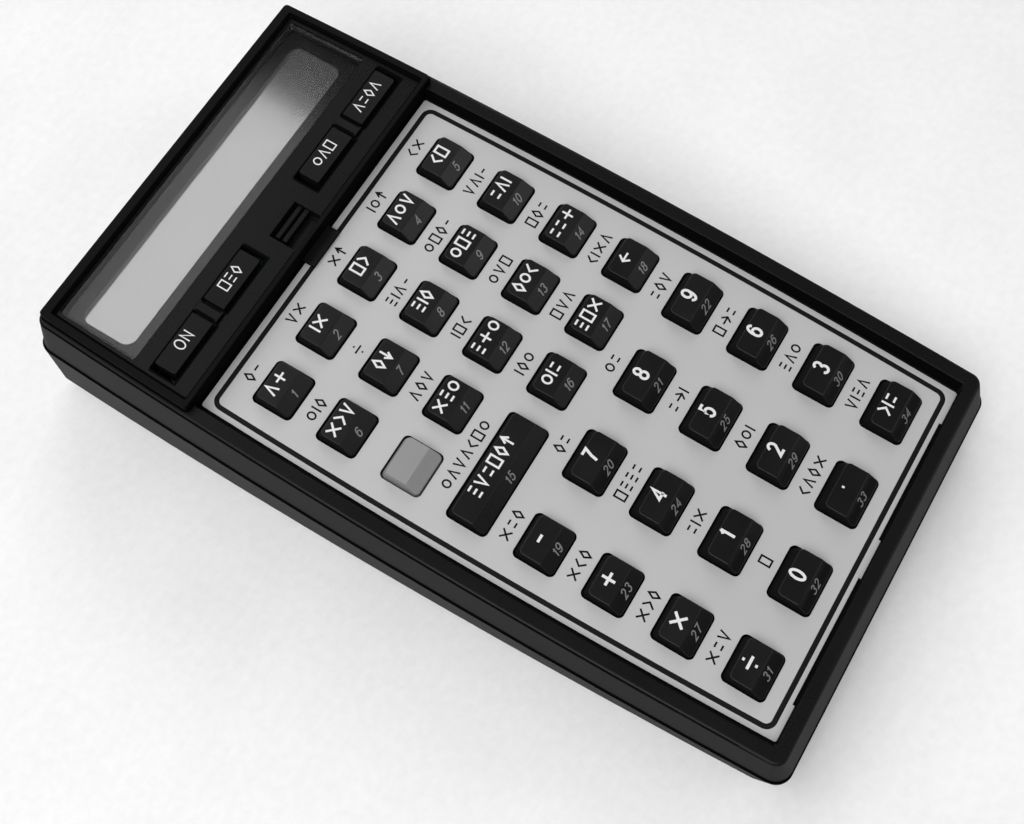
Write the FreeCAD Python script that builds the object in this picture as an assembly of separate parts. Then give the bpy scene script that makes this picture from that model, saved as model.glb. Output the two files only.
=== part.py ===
import FreeCAD, Part
import math
import os

Vector = FreeCAD.Vector

# A pocket calculator that lies on its four feet, display end at +Y, keyboard facing up and forwards.
# It is drawn with the face of the keyboard plate at Z 0, and then tipped onto its wedge-shaped base.

# Allowances for drawing: how far a cutter overshoots, how deep an added piece is rooted, sharp corners
overcut = 1.0
root = 0.2
sharp_corner = 0.4

# Keyboard grid
key_pitch = 12.4
small_hole_width = 8.4
digit_hole_width = 9.66
hole_depth = 7.65
hole_corner = 1.0
row_count = 8
column_count = 5
digit_gap = 6.87
keypad_shift = -1.08

# Keyboard plate
plate_thickness = 0.8
plate_side_margin = 5.35
plate_front_margin = 4.25
plate_rear_margin = 6.15
plate_clearance = 0.1
notch_inner_x = 3.6
notch_outer_x = 26.6
notch_depth = 0.4

# Upper shell
rim_height = 2.1
rim_side_width = 2.55
rim_front_width = 2.25
rim_inner_lean = 0.95
rim_corner = 1.9
rim_edge_radius = 0.55
case_flare_side = 1.2
case_flare_front = 2.4
case_flare_rear = 2.55
bow_radius = 1650.0
bow_centre_y = 16.0
wall = 2.0
deck_thickness = 1.2
deck_hole_extra = 0.15
groove_height = 0.7
groove_step = 0.35
tongue_height = 1.6
tongue_thickness = 0.85
tongue_ledge = 0.1
tongue_clearance = 0.1

# Parting plane and base plane, both falling away towards the display end. How deep the base lies
# follows from the battery bay and the keyboard board above it.
parting_depth = 6.46
parting_slope = 0.0271
parting_corner = 3.0
cavity_corner = 1.9
base_slope = 0.119
base_side_draft = 0.6
base_front_draft = 2.65
base_rear_flare = 3.4
base_corner = 2.8
base_edge_radius = 2.4

# Display frame
bezel_gap = 0.4
bezel_length = 29.95
bezel_rim_height = 3.9
bezel_panel_drop = 1.0
bezel_panel_thickness = 2.0
bezel_side_band = 1.15
bezel_front_band = 0.8
bezel_rear_band = 1.55
bezel_skirt = 1.4
bezel_rear_skirt = 0.85
bezel_corner = 0.7
bezel_clearance = 0.2
case_strip_side = 1.05
case_strip_rear = 0.65

# Window, mask and display glass
window_front_offset = 12.3
window_height = 15.4
window_side_strip = 1.15
window_ledge = 0.6
window_thickness = 1.0
window_sink = 0.3
window_clearance = 0.05
mask_top_z = -0.9
mask_thickness = 0.5
mask_side_gap = 0.4
mask_end_gap = 0.3
mask_front_rail = 0.8
mask_rear_rail = 0.25
mask_side_strip = 2.8
mask_front_strip = 3.5
mask_rear_strip = 1.4
aperture_corner = 2.0
glass_thickness = 2.0
glass_border = 1.4
display_board_thickness = 1.2
rib_thickness = 1.4
rib_end_gap = 0.1
rib_pin_radius = 0.5
rib_pin_inset = 2.0
pin_end = 0.4

# Rocker keys
slot_length = 26.2
slot_depth = 5.0
slot_front_offset = 4.4
slot_centre_x = 20.6
rocker_end_gap = 1.1
rocker_side_gap = 0.5
rocker_stand = 0.65
rocker_underside = 4.2
ridge_width = 2.0
ridge_side_gap = 0.25
ridge_groove_width = 0.55
ridge_groove_depth = 1.4
pivot_drop = 3.2
pivot_radius = 0.75
pivot_clearance = 0.08
ear_gap = 0.1
ear_width = 3.4
ear_thickness = 1.0
plunger_offset = 9.0
plunger_radius = 1.1
plunger_play = 0.1
rocker_throw = 3.5

# Overlay catch in the middle of the display frame
catch_half_width = 3.85
catch_depth = 5.7
catch_drop = 2.1
catch_wall = 1.0
catch_ridge_offset = 2.8
catch_ridge_thickness = 0.85
catch_ridge_height = 1.5
catch_ridge_gap = 0.7
tab_length = 2.3
tab_thickness = 0.75

# Keys
key_clearance = 0.3
key_corner = 0.8
small_key_rise = 2.0
digit_key_rise = 2.2
small_side_inset = 0.3
small_rear_inset = 0.72
small_land_depth = 3.95
digit_side_inset = 0.28
digit_rear_inset = 1.07
digit_land_depth = 3.85
key_front_rise = 0.35
flange_reach = 0.4
flange_thickness = 0.8
flange_play = 0.1
stem_radius = 1.5
stem_length = 1.0

# Boards under the keys
board_thickness = 0.8
board_side_margin = 2.0
board_front_margin = 1.2
board_rear_margin = 0.8
boss_hole_clearance = 0.3
keyboard_board_z = -5.4
post_radius = 1.1
post_pin_radius = 0.6
dome_radius = 2.8
dome_height = 0.4
dome_top_radius = 1.2
dome_foil = 0.15
logic_board_z = -9.6
logic_board_half_width = 27.5
logic_board_front_y = -38.0
logic_board_rear_y = 19.0
logic_post_inset = 3.5
chip_height = 1.5
chips = [(-15.0, 4.0, 16.0, 9.0), (6.0, 4.0, 20.0, 9.0), (-16.0, -14.0, 14.0, 8.0), (2.0, -14.0, 14.0, 8.0)]
crystal_radius = 1.6
crystal_height = 2.3
crystal_x = 20.0
crystal_y = -14.0
connector_width = 36.0
connector_depth = 3.0
connector_inset = 2.0
beeper_radius = 11.0
beeper_thickness = 1.2
beeper_cap_radius = 7.7
beeper_y = -8.0

# Sockets in the rear wall
port_width = 25.0
port_top_gap = 1.1
port_floor_gap = 1.9
port_depth = 13.0
port_web = 0.8
port_middle_web = 2.0
port_frame_wall = 1.0
port_frame_side_wall = 1.2
port_seat_clearance = 0.05
port_cap_clearance = 0.15
port_cap_face = 1.2
port_cap_collar = 4.5
port_cap_wall = 0.9
port_grip_depth = 0.5
port_grip_inset = 0.7
port_grip_width = 8.0
port_grip_height = 1.2

# Battery bay, holder and cells
cell_radius = 6.0
cell_length = 30.2
cell_count = 4
cell_gap = 0.3
cell_cap_radius = 2.0
cell_cap_height = 0.8
holder_wall = 0.9
holder_floor = 1.2
holder_wall_height = 8.0
holder_end_wall = 0.9
contact_space = 1.5
bay_clearance = 0.2
bay_wall = 1.2
bay_head_room = 0.6
bay_board_gap = 0.57
bay_front_y = 22.5
contact_thickness = 0.4
contact_width = 7.0
contact_height = 8.0
contact_bump_radius = 1.6
contact_bump_flare = 0.6
contact_slot_gap = 0.4
contact_cell_gap = 0.12
grip_rib_count = 5
grip_rib_pitch = 1.8
grip_rib_depth = 0.35
grip_rib_length = 16.0

# Feet and screws
foot_radius = 4.5
foot_stand = 0.9
foot_recess = 0.6
foot_edge_radius = 0.4
foot_x = 29.3
front_foot_y = -37.0
rear_foot_y = 67.0
screw_front_x = 16.5
screw_front_y = -44.5
screw_rear_x = 33.4
screw_rear_y = 50.0
upper_boss_radius = 2.1
lower_boss_radius = 3.0
boss_rib_thickness = 1.6
screw_radius = 1.1
screw_hole_clearance = 0.15
pin_clearance = 0.05
screw_head_radius = 1.9
screw_head_height = 1.4
screw_head_depth = 3.2
screw_end_gap = 0.6
screw_slot_width = 0.5
screw_slot_length = 2.4
screw_slot_depth = 0.7

# Places worked out from the sizes above
cos_tip = 1.0 / math.sqrt(1.0 + base_slope ** 2)
sin_tip = base_slope * cos_tip
tip_angle = math.degrees(math.atan(base_slope))
keypad_half = (column_count - 1) / 2 * key_pitch + small_hole_width / 2
plate_half = keypad_half + plate_side_margin
bay_roof = holder_floor + 2 * cell_radius + bay_head_room
bay_top_z = keyboard_board_z - board_thickness - bay_board_gap
bay_front_rise = (bay_roof + bay_wall) * cos_tip + bay_wall * sin_tip
base_depth = bay_front_rise - bay_top_z - base_slope * bay_front_y
row_zero_y = keypad_shift + (row_count - 1) / 2 * key_pitch
row_last_y = row_zero_y - (row_count - 1) * key_pitch
plate_rear_y = row_zero_y + hole_depth / 2 + plate_rear_margin
plate_front_y = row_last_y - hole_depth / 2 - plate_front_margin
pocket_half = plate_half + plate_clearance
pocket_front_y = plate_front_y - plate_clearance
rim_inner_half = pocket_half + rim_inner_lean
rim_half = rim_inner_half + rim_side_width
rim_front_y = pocket_front_y - rim_front_width
bezel_half = rim_half - case_strip_side
bezel_front_y = plate_rear_y + bezel_gap
bezel_rear_y = bezel_front_y + bezel_length
rim_rear_y = bezel_rear_y + case_strip_rear
case_half = rim_half + case_flare_side + groove_step
case_front_y = rim_front_y - case_flare_front - groove_step
case_rear_y = rim_rear_y + case_flare_rear + groove_step
base_half = case_half - base_side_draft
base_front_y = case_front_y + base_front_draft
base_rear_y = case_rear_y + base_rear_flare
deck_top_z = -plate_thickness
deck_under_z = deck_top_z - deck_thickness
panel_z = bezel_rim_height - bezel_panel_drop
panel_under_z = panel_z - bezel_panel_thickness
board_half = keypad_half + board_side_margin
aperture_width = 2 * (bezel_half - bezel_side_band - window_side_strip - mask_side_strip)
aperture_height = window_height - mask_front_strip - mask_rear_strip
bow_axis_x = case_half - bow_radius
small_top = (small_key_rise, small_side_inset, small_rear_inset, small_land_depth)
digit_top = (digit_key_rise, digit_side_inset, digit_rear_inset, digit_land_depth)


def parting_z(y):
    return -parting_depth - parting_slope * y


def base_z(y):
    return -base_depth - base_slope * y


# The rear wall leans back from the parting plane down to the base.
def rear_wall_y(z):
    top_z = parting_z(case_rear_y)
    low_z = base_z(base_rear_y)
    return case_rear_y + base_rear_flare * (top_z - z) / (top_z - low_z)


# The sides of every outline bulge gently, all on arcs about one common centre.
def side_x(half_width, y):
    radius = half_width - bow_axis_x
    return bow_axis_x + math.sqrt(radius ** 2 - (y - bow_centre_y) ** 2)


def corner_points(half_width, end_y, corner, sign):
    radius = half_width - bow_axis_x
    centre_y = end_y - sign * corner
    centre_x = bow_axis_x + math.sqrt((radius - corner) ** 2 - (centre_y - bow_centre_y) ** 2)
    centre = Vector(centre_x, centre_y, 0)
    out = Vector(centre_x - bow_axis_x, centre_y - bow_centre_y, 0).normalize()
    end = Vector(0, sign, 0)
    half_way = (out + end).normalize()
    return [centre + out * corner, centre + half_way * corner, centre + end * corner]


def mirrored(point):
    return Vector(-point.x, point.y, point.z)


def outline(half_width, front_y, rear_y, corner, level=0.0, slope=0.0):
    stretch = math.sqrt(1.0 + slope ** 2)
    front = corner_points(half_width, front_y * stretch, corner, -1)
    rear = corner_points(half_width, rear_y * stretch, corner, 1)
    middle_y = (front_y + rear_y) / 2 * stretch
    side_middle = Vector(side_x(half_width, middle_y), middle_y, 0)
    edges = [
        Part.makeLine(mirrored(front[2]), front[2]),
        Part.Arc(front[2], front[1], front[0]).toShape(),
        Part.Arc(front[0], side_middle, rear[0]).toShape(),
        Part.Arc(rear[0], rear[1], rear[2]).toShape(),
        Part.makeLine(rear[2], mirrored(rear[2])),
        Part.Arc(mirrored(rear[2]), mirrored(rear[1]), mirrored(rear[0])).toShape(),
        Part.Arc(mirrored(rear[0]), mirrored(side_middle), mirrored(front[0])).toShape(),
        Part.Arc(mirrored(front[0]), mirrored(front[1]), mirrored(front[2])).toShape(),
    ]
    wire = Part.Wire(edges)
    wire.rotate(Vector(0, 0, 0), Vector(1, 0, 0), math.degrees(math.atan(slope)))
    wire.translate(Vector(0, 0, level))
    return wire


def prism(wire, bottom_z, top_z):
    solid = Part.Face(wire).extrude(Vector(0, 0, top_z - bottom_z))
    solid.translate(Vector(0, 0, bottom_z))
    return solid


def between(wire_a, wire_b):
    return Part.makeLoft([wire_a, wire_b], True, True)


def block(x0, x1, y0, y1, z0, z1):
    return Part.makeBox(x1 - x0, y1 - y0, z1 - z0, Vector(x0, y0, z0))


def rod(radius, x, y, z0, z1):
    return Part.makeCylinder(radius, z1 - z0, Vector(x, y, z0))


def rounded_wire(width, depth, corner, centre_y=0.0, z=0.0):
    x = width / 2
    y = depth / 2
    diagonal = corner * math.sqrt(0.5)
    points = []
    for sx, sy in ((1, -1), (1, 1), (-1, 1), (-1, -1)):
        cx = sx * (x - corner)
        cy = sy * (y - corner)
        along_x = Vector(cx + sx * corner, cy, 0)
        along_y = Vector(cx, cy + sy * corner, 0)
        middle = Vector(cx + sx * diagonal, cy + sy * diagonal, 0)
        if sx * sy < 0:
            points.append((along_y, middle, along_x))
        else:
            points.append((along_x, middle, along_y))
    edges = []
    for index, corner_arc in enumerate(points):
        edges.append(Part.Arc(*corner_arc).toShape())
        edges.append(Part.makeLine(corner_arc[2], points[(index + 1) % 4][0]))
    wire = Part.Wire(edges)
    wire.translate(Vector(0, centre_y, z))
    return wire


def rounded_block(width, depth, corner, x, y, z0, z1):
    solid = prism(rounded_wire(width, depth, corner), z0, z1)
    solid.translate(Vector(x, y, 0))
    return solid


def polygon_bar(points_yz, x0, x1):
    corners = [Vector(x0, y, z) for y, z in points_yz]
    wire = Part.makePolygon(corners + corners[:1])
    return Part.Face(wire).extrude(Vector(x1 - x0, 0, 0))


# Shapes drawn on the flat base are turned into the frame of the keyboard face with this.
def from_base(shape):
    turned = shape.copy()
    turned.translate(Vector(0, 0, -base_depth * cos_tip))
    turned.rotate(Vector(0, 0, 0), Vector(1, 0, 0), -tip_angle)
    return turned


def base_y(face_y):
    return face_y * cos_tip - base_z(face_y) * sin_tip


# Keys: node name, centre across, row, width of the opening, style of the top
def key_list():
    keys = []
    column_x = [(column - (column_count - 1) / 2) * key_pitch for column in range(column_count)]
    for row in range(3):
        for column in range(column_count):
            name = "key_plain" if (row, column) == (2, 0) else f"key_row{row + 1}_{column + 1}"
            keys.append((name, column_x[column], row, small_hole_width, small_top))
    wide_width = key_pitch + small_hole_width
    keys.append(("key_wide", (column_x[0] + column_x[1]) / 2, 3, wide_width, small_top))
    for column in range(2, column_count):
        keys.append((f"key_row4_{column + 1}", column_x[column], 3, small_hole_width, small_top))
    signs = ["key_minus", "key_plus", "key_times", "key_divide"]
    digits = [["7", "8", "9"], ["4", "5", "6"], ["1", "2", "3"], ["0", "decimal_point", "row8_4"]]
    first_digit_x = -keypad_half + small_hole_width + digit_gap + digit_hole_width / 2
    for index in range(4):
        row = index + 4
        keys.append((signs[index], column_x[0], row, small_hole_width, small_top))
        for place, label in enumerate(digits[index]):
            name = f"key_digit_{label}" if label.isdigit() else f"key_{label}"
            x = first_digit_x + place * (digit_hole_width + digit_gap)
            keys.append((name, x, row, digit_hole_width, digit_top))
    return keys


def row_y(row):
    return row_zero_y - row * key_pitch


# One key: cap with a flat rear land and a sloping front, retaining flange and stem
def make_key(hole_width, top):
    rise, side_inset, rear_inset, land_depth = top
    width = hole_width - 2 * key_clearance
    depth = hole_depth - 2 * key_clearance
    flange_top = deck_under_z - flange_play
    flange_under = flange_top - flange_thickness
    skirt = prism(rounded_wire(width, depth, key_corner), flange_top, key_front_rise)
    cap = between(
        rounded_wire(width, depth, key_corner, 0, key_front_rise),
        rounded_wire(width - 2 * side_inset, depth - rear_inset, key_corner, -rear_inset / 2, rise),
    )
    crease_y = depth / 2 - rear_inset - land_depth
    front_y = -depth / 2
    slope = (rise - key_front_rise) / (crease_y - front_y)
    cutter = polygon_bar(
        [(crease_y, rise), (crease_y + overcut / slope, rise + overcut),
         (front_y - overcut, rise + overcut), (front_y - overcut, key_front_rise - overcut * slope)],
        -width, width)
    spread = 2 * (key_clearance + deck_hole_extra + flange_reach)
    flange = prism(rounded_wire(width + spread, depth + spread, key_corner), flange_under, flange_top)
    stem = rod(stem_radius, 0, 0, flange_under - stem_length, flange_under)
    return cap.cut(cutter).fuse([skirt, flange, stem]).removeSplitter()


def all_keys():
    masters = {}
    nodes = {}
    for name, x, row, width, top in key_list():
        if width not in masters:
            masters[width] = make_key(width, top)
        key = masters[width].copy()
        key.translate(Vector(x, row_y(row), 0))
        nodes[name] = key
    return nodes


# Light keyboard plate with an opening for every key and two notches at the front edge
def make_faceplate():
    plate = prism(outline(plate_half, plate_front_y, plate_rear_y, sharp_corner), deck_top_z, 0)
    cuts = [rounded_block(width, hole_depth, hole_corner, x, row_y(row), deck_top_z - overcut, overcut)
            for _, x, row, width, _ in key_list()]
    notch_end = plate_front_y + notch_depth
    for x0, x1 in ((-notch_outer_x, -notch_inner_x), (notch_inner_x, notch_outer_x)):
        cuts.append(block(x0, x1, plate_front_y - overcut, notch_end, deck_top_z - overcut, overcut))
    return plate.cut(cuts)


def screw_places():
    return [(-screw_front_x, screw_front_y), (screw_front_x, screw_front_y),
            (-screw_rear_x, screw_rear_y), (screw_rear_x, screw_rear_y)]


# A screw stands square to the base. These are the heights at which it meets the parting plane
# and the underside of the deck.
def screw_split(y):
    return (parting_z(y) - base_z(y)) / (cos_tip + parting_slope * sin_tip)


def screw_roof(y):
    return (deck_under_z - base_z(y)) / cos_tip


def base_post(radius, x, face_y, low, high):
    return from_base(rod(radius, x, base_y(face_y), low, high))


def keyboard_posts():
    rows = (0, row_count // 2 - 1, row_count - 2)
    row_gap_y = [(row_y(row) + row_y(row + 1)) / 2 for row in rows]
    return [(x, y) for x in (-2 * key_pitch, 0.0, 2 * key_pitch) for y in row_gap_y]


# Upper shell: flared walls, rim, keyboard pocket, display pocket, deck, posts and screw bosses
def make_top_case():
    lower_half = case_half - groove_step
    lower_level = -parting_depth + groove_height
    shell = between(
        outline(lower_half, case_front_y + groove_step, case_rear_y - groove_step, parting_corner,
                lower_level, -parting_slope),
        outline(rim_half, rim_front_y, rim_rear_y, rim_corner, rim_height),
    )
    top_edges = [edge for edge in shell.Edges
                 if all(abs(vertex.Z - rim_height) < 1e-6 for vertex in edge.Vertexes)]
    shell = shell.makeFillet(rim_edge_radius, top_edges)
    share = (rim_height - deck_under_z) / (rim_height + parting_depth)
    cavity = between(
        outline(lower_half - wall, case_front_y + groove_step + wall, case_rear_y - groove_step - wall,
                cavity_corner, lower_level - overcut, -parting_slope),
        outline(rim_half + share * case_flare_side - wall, rim_front_y - share * case_flare_front + wall,
                rim_rear_y + share * case_flare_rear - wall, cavity_corner, deck_under_z),
    )
    keyboard_pocket = between(
        outline(pocket_half, pocket_front_y, bezel_front_y, sharp_corner, deck_top_z),
        outline(rim_inner_half, pocket_front_y, bezel_front_y, sharp_corner, rim_height),
    )
    above_pocket = prism(outline(rim_inner_half, pocket_front_y, bezel_front_y, sharp_corner),
                         rim_height, rim_height + overcut)
    display_pocket = prism(
        outline(bezel_half + bezel_clearance, bezel_front_y - bezel_clearance,
                bezel_rear_y + bezel_clearance, bezel_corner),
        deck_top_z, rim_height + overcut)
    skirt_inner = bezel_half - bezel_skirt + bezel_clearance
    display_hole = prism(
        outline(skirt_inner, bezel_front_y + bezel_skirt, bezel_rear_y - bezel_rear_skirt + bezel_clearance,
                bezel_corner),
        deck_under_z - overcut, deck_top_z + overcut)
    holes = [rounded_block(width + 2 * deck_hole_extra, hole_depth + 2 * deck_hole_extra, hole_corner,
                           x, row_y(row), deck_under_z - overcut, deck_top_z + overcut)
             for _, x, row, width, _ in key_list()]
    case = shell.cut([cavity, keyboard_pocket, above_pocket, display_pocket, display_hole] + holes)
    rebate = tongue_ring(wall - tongue_ledge - tongue_thickness - tongue_clearance, wall + overcut,
                         -overcut, tongue_height + tongue_clearance)
    case = case.cut(rebate)
    additions = []
    for x, y in keyboard_posts():
        additions.append(rod(post_radius, x, y, keyboard_board_z, deck_under_z + root))
        additions.append(rod(post_pin_radius, x, y, keyboard_board_z - board_thickness - pin_end,
                             keyboard_board_z))
    pilots = []
    for x, y in screw_places():
        additions.append(base_post(upper_boss_radius, x, y, screw_split(y), screw_roof(y) + root))
        pilots.append(base_post(screw_radius + pin_clearance, x, y, screw_split(y) - overcut,
                                screw_roof(y) - screw_end_gap / 2))
    rib = rear_boss_rib()
    additions.append(from_base(rib))
    additions.append(from_base(rib.mirror(Vector(0, 0, 0), Vector(1, 0, 0))))
    return case.fuse(additions).cut(pilots).removeSplitter()


# Rib that ties a rear screw boss of the upper shell to the side wall
def rear_boss_rib():
    middle = base_y(screw_rear_y)
    wall_x = side_x(case_half, screw_rear_y) - groove_step - wall / 2
    return block(screw_rear_x, wall_x, middle - boss_rib_thickness / 2, middle + boss_rib_thickness / 2,
                 screw_split(screw_rear_y) + tongue_height + 3 * tongue_clearance,
                 screw_roof(screw_rear_y) + root)


# A ring along the parting plane, between two distances in from the outer edge of the shells
def tongue_ring(outer_step, inner_step, low, high):
    upwards = Vector(0, parting_slope, 1).normalize()
    bodies = []
    for step in (outer_step, inner_step):
        wire = outline(case_half - step, case_front_y + step, case_rear_y - step,
                       max(parting_corner - step, sharp_corner), -parting_depth, -parting_slope)
        body = Part.Face(wire).extrude(upwards * (high - low))
        body.translate(upwards * low)
        bodies.append(body)
    return bodies[0].cut(bodies[1])


# Display frame: raised band, sunk panel, window opening, rocker slots, catch and board ribs
def rib_front_y():
    return ear_faces()[1] + ear_thickness


def make_bezel():
    body = prism(outline(bezel_half, bezel_front_y, bezel_rear_y, bezel_corner),
                 deck_top_z, bezel_rim_height)
    panel_space = prism(
        outline(bezel_half - bezel_side_band, bezel_front_y + bezel_front_band,
                bezel_rear_y - bezel_rear_band, sharp_corner),
        panel_z, bezel_rim_height + overcut)
    underside = prism(
        outline(bezel_half - bezel_skirt, bezel_front_y + bezel_skirt, bezel_rear_y - bezel_rear_skirt,
                bezel_corner),
        deck_top_z - overcut, panel_under_z)
    body = body.cut([panel_space, underside])
    ridge_y = bezel_front_y + bezel_front_band + catch_ridge_offset
    catch_rear_y = bezel_front_y + bezel_front_band + catch_depth
    catch_floor_z = panel_z - catch_drop
    catch_block = block(-catch_half_width - catch_wall, catch_half_width + catch_wall,
                        bezel_front_y + bezel_front_band, catch_rear_y + catch_wall,
                        catch_floor_z - catch_wall, panel_under_z + root)
    rib_top = panel_under_z + root
    front_rib = block(-rib_half_width(), rib_half_width(), rib_front_y(), rib_front_y() + rib_thickness,
                      glass_under_z(), rib_top)
    rear_rib_end = bezel_rear_y - bezel_rear_skirt
    rear_rib = block(-rib_half_width(), rib_half_width(), rear_rib_end - rib_thickness / 2, rear_rib_end,
                     glass_under_z(), rib_top)
    pins = [rod(rib_pin_radius, x, y, glass_under_z() - display_board_thickness - pin_end, glass_under_z())
            for x, y in rib_pin_places()]
    ears = []
    for centre_x in (-slot_centre_x, slot_centre_x):
        for y0 in ear_faces():
            ear = block(centre_x - ear_width / 2, centre_x + ear_width / 2, y0, y0 + ear_thickness,
                        pivot_z() - ear_width / 2, panel_under_z + root)
            ears.append(ear)
    body = body.fuse([catch_block, front_rib, rear_rib] + pins + ears)
    cuts = [window_prism(window_half(), 0, panel_z - window_thickness - window_sink, panel_z + overcut),
            window_prism(window_half() - window_ledge, window_ledge, panel_under_z - overcut,
                         panel_z + overcut)]
    for centre_x in (-slot_centre_x, slot_centre_x):
        cuts.append(block(centre_x - slot_length / 2, centre_x + slot_length / 2, slot_front_y(),
                          slot_front_y() + slot_depth, panel_under_z - overcut, panel_z + overcut))
        bore_start = Vector(centre_x, ear_faces()[0], pivot_z())
        bore_length = ear_faces()[1] + ear_thickness - ear_faces()[0]
        bore_radius = pivot_radius + pivot_clearance
        cuts.append(Part.makeCylinder(bore_radius, bore_length, bore_start, Vector(0, 1, 0)))
    cuts.append(block(-catch_half_width, catch_half_width, bezel_front_y + bezel_front_band, catch_rear_y,
                      catch_floor_z, panel_z + overcut))
    body = body.cut(cuts)
    ridge = block(-catch_half_width + catch_ridge_gap, catch_half_width, ridge_y,
                  ridge_y + catch_ridge_thickness, catch_floor_z, catch_floor_z + catch_ridge_height)
    tab = block(-catch_half_width, catch_half_width, bezel_front_y - tab_length, bezel_front_y + root,
                0, tab_thickness)
    return body.fuse([ridge, tab]).removeSplitter()


def slot_front_y():
    return bezel_front_y + slot_front_offset


def ear_faces():
    return [slot_front_y() - ear_gap - ear_thickness, slot_front_y() + slot_depth + ear_gap]


def pivot_z():
    return panel_z - pivot_drop


def window_half():
    return bezel_half - bezel_side_band - window_side_strip


def window_prism(half_width, step, bottom_z, top_z):
    front = bezel_front_y + window_front_offset + step
    rear = bezel_front_y + window_front_offset + window_height - step
    return prism(outline(half_width, front, rear, sharp_corner), bottom_z, top_z)


def glass_under_z():
    return mask_top_z - mask_thickness - glass_thickness


def rib_half_width():
    return aperture_width / 2 + glass_border - rib_end_gap


def rib_pin_places():
    reach = rib_half_width() - rib_pin_inset
    return [(x, rib_front_y() + rib_thickness / 2) for x in (-reach, 0, reach)]


def make_window():
    seat_z = panel_z - window_sink - window_thickness
    return window_prism(window_half() - window_clearance, window_clearance,
                        seat_z, seat_z + window_thickness)


def aperture_centre_y():
    return bezel_front_y + window_front_offset + mask_front_strip + aperture_height / 2


def mask_limits():
    front = rib_front_y() + rib_thickness + mask_end_gap
    rear = bezel_rear_y - bezel_rear_skirt - rib_thickness / 2 - rib_end_gap
    return front, rear


def make_mask():
    front, rear = mask_limits()
    half = bezel_half - bezel_skirt - mask_side_gap
    plate = prism(outline(half, front, rear, sharp_corner), mask_top_z - mask_thickness, mask_top_z)
    opening = rounded_block(aperture_width, aperture_height, aperture_corner, 0, aperture_centre_y(),
                            mask_top_z - mask_thickness - overcut, mask_top_z + overcut)
    rails = []
    for y0, y1 in ((front, front + mask_front_rail), (rear - mask_rear_rail, rear)):
        rails.append(block(-rib_half_width(), rib_half_width(), y0, y1, mask_top_z, panel_under_z))
    return plate.cut(opening).fuse(rails).removeSplitter()


def make_lcd():
    top = mask_top_z - mask_thickness
    glass = block(-aperture_width / 2 - glass_border, aperture_width / 2 + glass_border,
                  aperture_centre_y() - aperture_height / 2 - glass_border,
                  aperture_centre_y() + aperture_height / 2 + glass_border, top - glass_thickness, top)
    return glass


def make_display_board():
    top = glass_under_z()
    half_width = aperture_width / 2 + glass_border
    board = block(-half_width, half_width, rib_front_y(), bezel_rear_y - bezel_rear_skirt,
                  top - display_board_thickness, top)
    holes = [rod(rib_pin_radius + pin_clearance, x, y,
                 top - display_board_thickness - overcut, top + overcut)
             for x, y in rib_pin_places()]
    return board.cut(holes)


# Rocker key: two press faces with a ridge between them, pins at its middle and a plunger at each end
def make_rocker(centre_x):
    length = slot_length - 2 * rocker_end_gap
    depth = slot_depth - 2 * rocker_side_gap
    top = panel_z + rocker_stand
    bottom = top - rocker_underside
    centre_y = slot_front_y() + slot_depth / 2
    bar = rounded_block(length, depth, sharp_corner, 0, centre_y, bottom, top)
    ridge_depth = slot_depth - 2 * ridge_side_gap
    ridge = block(-ridge_width / 2, ridge_width / 2, centre_y - ridge_depth / 2, centre_y + ridge_depth / 2,
                  bottom, top)
    grooves = []
    for side in (-1, 1):
        x0 = side * (ridge_width / 2 + ridge_groove_width / 2)
        grooves.append(block(x0 - ridge_groove_width / 2, x0 + ridge_groove_width / 2,
                             centre_y - slot_depth, centre_y + slot_depth,
                             top - ridge_groove_depth, top + overcut))
    pin_reach = slot_depth / 2 + ear_gap + ear_thickness - pivot_clearance
    pin = Part.makeCylinder(pivot_radius, 2 * pin_reach, Vector(0, centre_y - pin_reach, pivot_z()),
                            Vector(0, 1, 0))
    plunger_bottom = keyboard_board_z + dome_height + plunger_room()
    plungers = [rod(plunger_radius, side * plunger_offset, centre_y, plunger_bottom, bottom + root)
                for side in (-1, 1)]
    rocker = bar.fuse([ridge, pin] + plungers).cut(grooves).removeSplitter()
    rocker.translate(Vector(centre_x, 0, 0))
    return rocker


# Room for a plunger to sink by when its end of the rocker is pressed
def plunger_room():
    return (plunger_offset + plunger_radius) * math.sin(math.radians(rocker_throw)) + plunger_play


# Contact board under the keys, hung on the posts of the deck
def keyboard_board_ends():
    front = row_last_y - hole_depth / 2 - board_front_margin
    rear = slot_front_y() + slot_depth + board_rear_margin
    return front, rear


def boss_holes():
    return [base_post(lower_boss_radius + boss_hole_clearance, x, y, 0, screw_roof(y))
            for x, y in screw_places()]


def make_keyboard_board():
    front, rear = keyboard_board_ends()
    bottom = keyboard_board_z - board_thickness
    board = block(-board_half, board_half, front, rear, bottom, keyboard_board_z)
    cuts = [rod(post_pin_radius + pin_clearance, x, y, bottom - overcut, keyboard_board_z + overcut)
            for x, y in keyboard_posts()]
    return board.cut(cuts + boss_holes())


def make_dome():
    return Part.makeCone(dome_radius, dome_top_radius, dome_height).cut(
        Part.makeCone(dome_radius - dome_foil * 2, dome_top_radius - dome_foil, dome_height - dome_foil))


def dome_places():
    places = [(x, row_y(row)) for _, x, row, _, _ in key_list()]
    rocker_y = slot_front_y() + slot_depth / 2
    for centre_x in (-slot_centre_x, slot_centre_x):
        for side in (-1, 1):
            places.append((centre_x + side * plunger_offset, rocker_y))
    return places


def make_domes():
    domes = []
    master = make_dome()
    for x, y in dome_places():
        dome = master.copy()
        dome.translate(Vector(x, y, keyboard_board_z))
        domes.append(dome)
    return Part.makeCompound(domes)


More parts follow.
